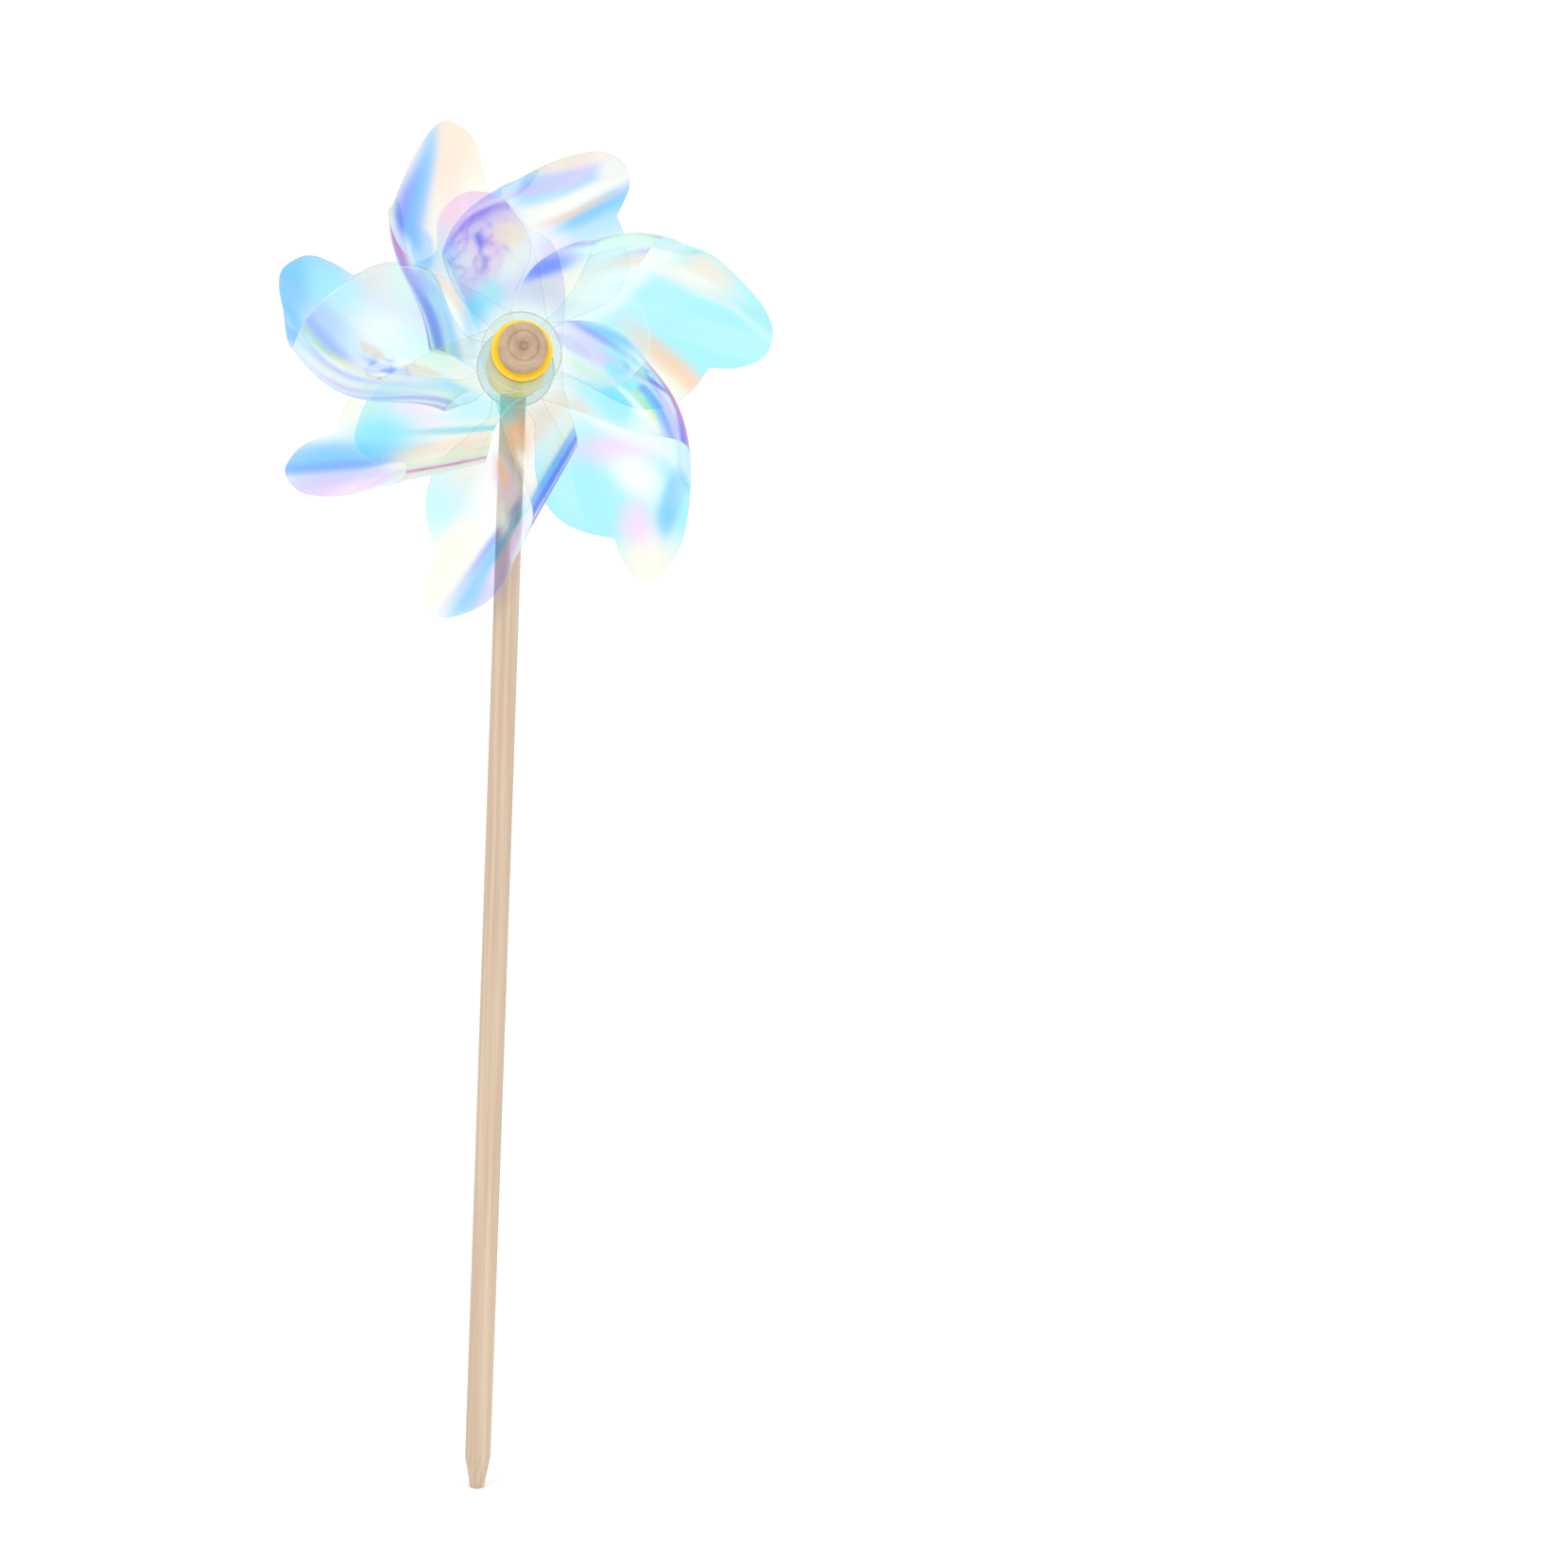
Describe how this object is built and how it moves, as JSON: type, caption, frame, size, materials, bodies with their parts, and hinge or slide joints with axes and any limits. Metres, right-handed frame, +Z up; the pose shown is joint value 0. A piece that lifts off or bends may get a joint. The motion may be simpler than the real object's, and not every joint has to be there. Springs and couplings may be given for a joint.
{
  "type": "pinwheel",
  "caption": "Stick pinwheel: rolled iridescent film blades on a yellow plastic hub, turning on a wooden peg through a round wooden stick",
  "frame": {"origin": "centre of the stick's lower tip, on the stick's axis", "axes": "+Z up along the stick; the wheel turns about -Y and faces -Y; +X to the right as seen from the front"},
  "size_m": [0.1816, 0.0662, 0.5037],
  "materials": {
    "wood": "smooth unvarnished birch",
    "hub_plastic": "moulded yellow, glossy",
    "washer_plastic": "plain moulded",
    "film": "clear iridescent film, pastel blue, pink and gold with the angle"
  },
  "bodies": {
    "stand": {"stick": "wood", "axle_peg": "wood", "spacer_washer": "washer_plastic"},
    "wheel": {"hub_tube": "hub_plastic", "rear_collar": "hub_plastic", "front_collar": "hub_plastic", "blade_1": "film", "blade_2": "film", "blade_3": "film", "blade_4": "film", "blade_5": "film", "blade_6": "film", "blade_7": "film"}
  },
  "joints": [
    {"name": "wheel_spin", "type": "hinge", "parent": "stand", "child": "wheel", "pos_m": [0, -0.029, 0.414], "axis": [0, -1, 0], "continuous": true}
  ]
}
